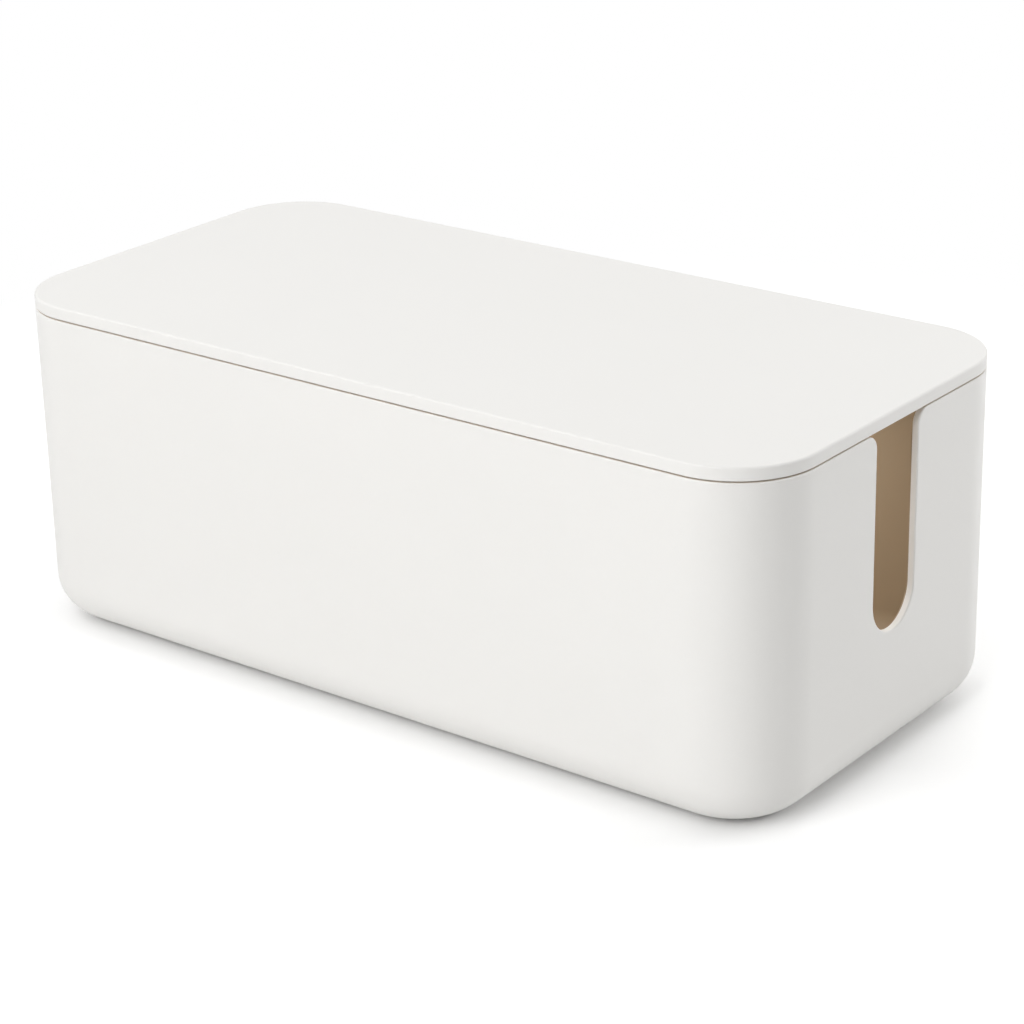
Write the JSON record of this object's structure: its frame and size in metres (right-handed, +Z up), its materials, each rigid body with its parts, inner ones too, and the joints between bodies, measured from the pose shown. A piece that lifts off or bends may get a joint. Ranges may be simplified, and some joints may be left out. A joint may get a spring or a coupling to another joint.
{
  "type": "cable management box",
  "caption": "Lidded box that hides a power strip and its surplus cable, with a U-shaped cable slot in each end.",
  "frame": {"origin": "on the surface that the feet stand on, under the middle of the box", "axes": "+Z up, X along the box from one cable slot to the other, Y across it"},
  "size_m": [0.4, 0.192, 0.1544],
  "materials": {
    "case": "warm white, fine satin texture",
    "liner": "tan, smooth matte",
    "lid": "warm white, fine satin texture",
    "foot": "grey, matte"
  },
  "bodies": {
    "case": {"case_shell": "case", "inner_liner": "liner", "foot_front_left": "foot", "foot_front_right": "foot", "foot_back_left": "foot", "foot_back_right": "foot"},
    "lid": {"lid": "lid"}
  },
  "joints": [
    {"name": "lid_lift", "type": "slide", "parent": "case", "child": "lid", "axis": [0, 0, 1], "range_m": [0, 0.12]}
  ]
}
